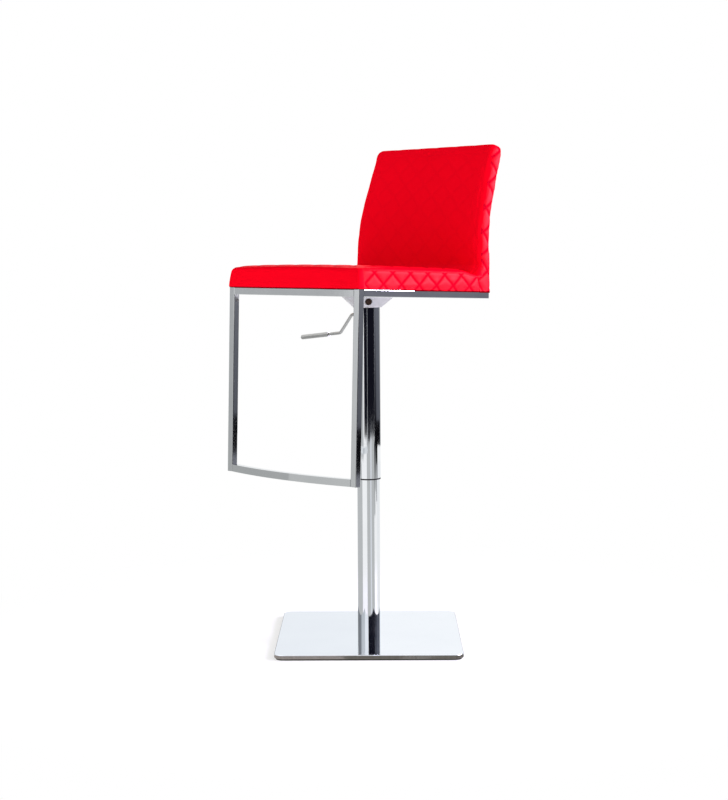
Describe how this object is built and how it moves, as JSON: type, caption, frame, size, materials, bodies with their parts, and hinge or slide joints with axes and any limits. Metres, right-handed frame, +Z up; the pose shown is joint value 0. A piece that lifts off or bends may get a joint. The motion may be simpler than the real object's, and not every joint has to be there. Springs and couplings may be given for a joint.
{
  "type": "swivel bar stool",
  "caption": "Height-adjustable swivel bar stool with a quilted seat and back, a chromed square-tube frame with a bowed footrest, a gas-lift column and a square plate base.",
  "frame": {"origin": "on the floor at the column's axis", "axes": "+Z up along the column, the seat faces -Y and the sitter's left is +X"},
  "size_m": [0.5482, 0.5482, 1.0886],
  "materials": {
    "chrome": "polished",
    "red_leatherette": "satin",
    "foam": "matte",
    "plywood": "matte",
    "black_rubber": "matte",
    "black_plastic": "satin",
    "black_steel": "satin",
    "dark_bolt": "satin",
    "silver_steel": "satin",
    "plain_steel": "satin"
  },
  "bodies": {
    "base": {"floor_mat": "black_rubber", "base_plate": "chrome", "base_bolt": "plain_steel", "column_plug": "plain_steel", "column_tube": "chrome", "guide_bush": "black_plastic", "spring_seat": "plain_steel", "bearing_lower_race": "plain_steel"},
    "ball_cage": {"bearing_balls": "plain_steel", "bearing_cage": "black_plastic"},
    "spindle": {"bearing_upper_race": "plain_steel", "piston_rod": "plain_steel", "rod_clip": "plain_steel", "bump_stop": "black_rubber", "piston": "plain_steel", "piston_seal": "black_rubber", "piston_nut": "plain_steel"},
    "seat": {"gas_cylinder": "black_steel", "rod_gland": "plain_steel", "rod_seal": "black_rubber", "seat_hub": "plain_steel", "hub_bolts": "dark_bolt", "seat_dish": "silver_steel", "dish_bolts": "plain_steel", "sleeve": "chrome", "sleeve_screw": "plain_steel", "sleeve_wiper": "black_plastic", "lever_pin": "plain_steel", "front_rail": "chrome", "rear_rail": "chrome", "left_rail": "chrome", "right_rail": "chrome", "left_leg": "chrome", "right_leg": "chrome", "footrest_bar": "chrome", "front_cross_bar": "silver_steel", "rear_cross_bar": "silver_steel", "corner_tabs": "silver_steel", "seat_board": "plywood", "board_screws": "plain_steel", "tee_nuts": "plain_steel", "seat_foam": "foam", "seat_cover": "red_leatherette", "left_back_upright": "plain_steel", "right_back_upright": "plain_steel", "back_board": "plywood", "back_screws": "plain_steel", "back_foam": "foam", "back_cover": "red_leatherette"},
    "lever": {"lever_rod": "chrome", "lever_grip": "chrome"},
    "valve": {"valve_pin": "plain_steel"}
  },
  "joints": [
    {"name": "swivel", "type": "hinge", "parent": "base", "child": "spindle", "pos_m": [0, 0, 0.049], "axis": [0, 0, 1], "continuous": true},
    {"name": "cage_roll", "type": "hinge", "parent": "base", "child": "ball_cage", "pos_m": [0, 0, 0.049], "axis": [0, 0, 1], "continuous": true},
    {"name": "lift", "type": "slide", "parent": "spindle", "child": "seat", "axis": [0, 0, 1], "range_m": [-0.21, 0]},
    {"name": "lever_pull", "type": "hinge", "parent": "seat", "child": "lever", "pos_m": [-0.019, 0, 0.716], "axis": [0, 1, 0], "range_deg": [0, 8], "stiffness_Nm_per_rad": 3, "springref_deg": -5.73},
    {"name": "valve_press", "type": "slide", "parent": "seat", "child": "valve", "axis": [0, 0, -1], "range_m": [0, 0.00271]}
  ],
  "couplings": [
    {"joint": "cage_roll", "follows": "swivel", "ratio": 0.5},
    {"joint": "valve_press", "follows": "lever_pull", "m_per_rad": 0.01934}
  ]
}
